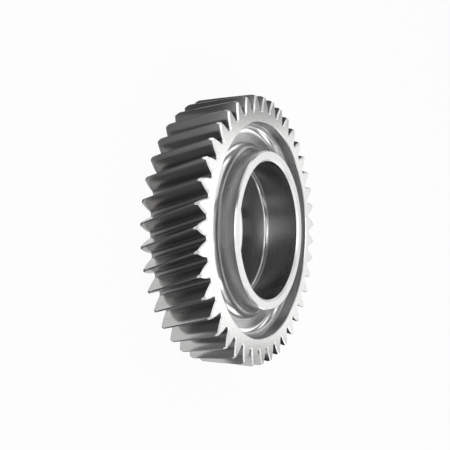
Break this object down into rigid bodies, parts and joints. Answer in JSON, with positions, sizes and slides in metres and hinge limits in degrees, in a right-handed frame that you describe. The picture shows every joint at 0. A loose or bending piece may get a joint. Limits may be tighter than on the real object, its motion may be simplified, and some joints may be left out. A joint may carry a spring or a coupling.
{
  "type": "helical gear",
  "caption": "One-piece steel helical gear with a wide toothed rim, a recessed web on both sides, and a plain ground bore with a lubrication groove.",
  "frame": {"origin": "centre of the bore at the hub's back face, on which the gear lies", "axes": "+Z along the bore axis, from the hub's back face to its prouder front face; +X through the middle of one tooth space at mid face width"},
  "size_m": [0.1364, 0.1364, 0.0355],
  "materials": {
    "gear_steel": "machined and ground, matte grey hardened flanks"
  },
  "bodies": {
    "root": {"helical_gear": "gear_steel"}
  },
  "joints": []
}
